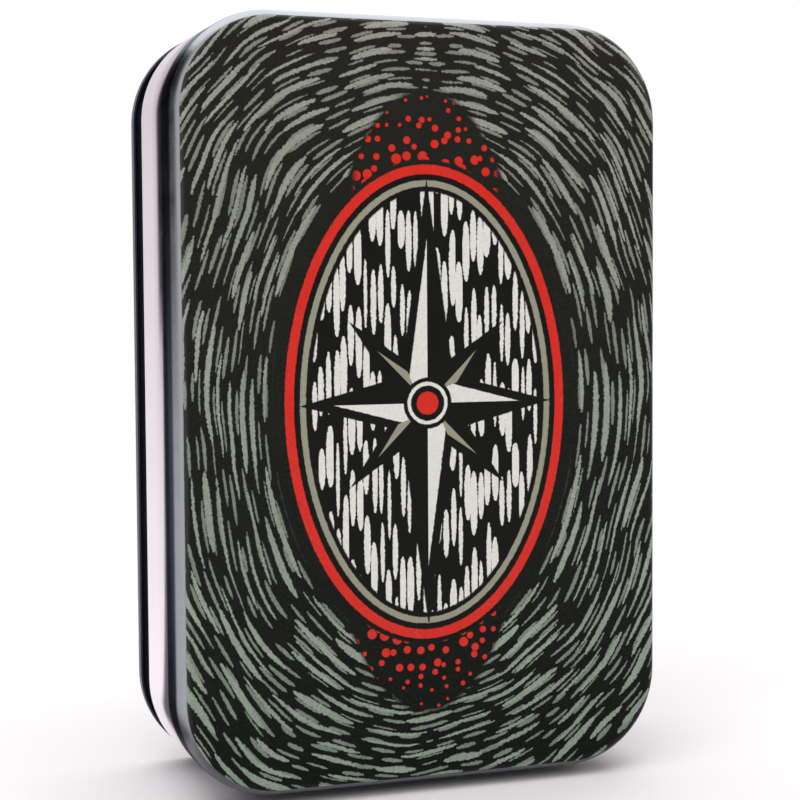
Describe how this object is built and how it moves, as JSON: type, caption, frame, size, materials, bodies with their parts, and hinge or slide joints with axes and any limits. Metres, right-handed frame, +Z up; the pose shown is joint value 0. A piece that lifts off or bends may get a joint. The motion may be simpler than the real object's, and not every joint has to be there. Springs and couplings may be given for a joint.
{
  "type": "hinged card game tin",
  "caption": "Upright tin case for game cards: a drawn lid with a hemmed rim, pin-hinged along the upper short side of a seamed body, with a formed tray for deck and rules.",
  "frame": {"origin": "bottom centre of the box round the closed tin, on the surface that its lower short side stands on", "axes": "+Z up along the long sides, towards the hinge; -Y out of the lid's printed face, so the bottom panel faces +Y; X across the short sides"},
  "size_m": [0.0842, 0.031, 0.1268],
  "materials": {
    "lid_print": "printed and varnished",
    "body_lacquer": "gloss lacquer",
    "bare_tin": "bright",
    "tray_plastic": "satin",
    "card_stock": "coated",
    "rules_paper": "uncoated"
  },
  "bodies": {
    "base": {"body_wall": "body_lacquer", "bottom_panel": "body_lacquer", "hinge_plate": "body_lacquer", "hinge_pin": "bare_tin", "insert_tray": "tray_plastic", "rules_booklet": "rules_paper", "card_packet_1": "card_stock", "card_packet_2": "card_stock", "card_packet_3": "card_stock", "card_packet_4": "card_stock", "card_packet_5": "card_stock"},
    "lid": {"lid_shell": "lid_print"}
  },
  "joints": [
    {"name": "lid_hinge", "type": "hinge", "parent": "base", "child": "lid", "pos_m": [0, 0.0087, 0.12551], "axis": [-1, 0, 0], "range_deg": [0, 173]}
  ]
}
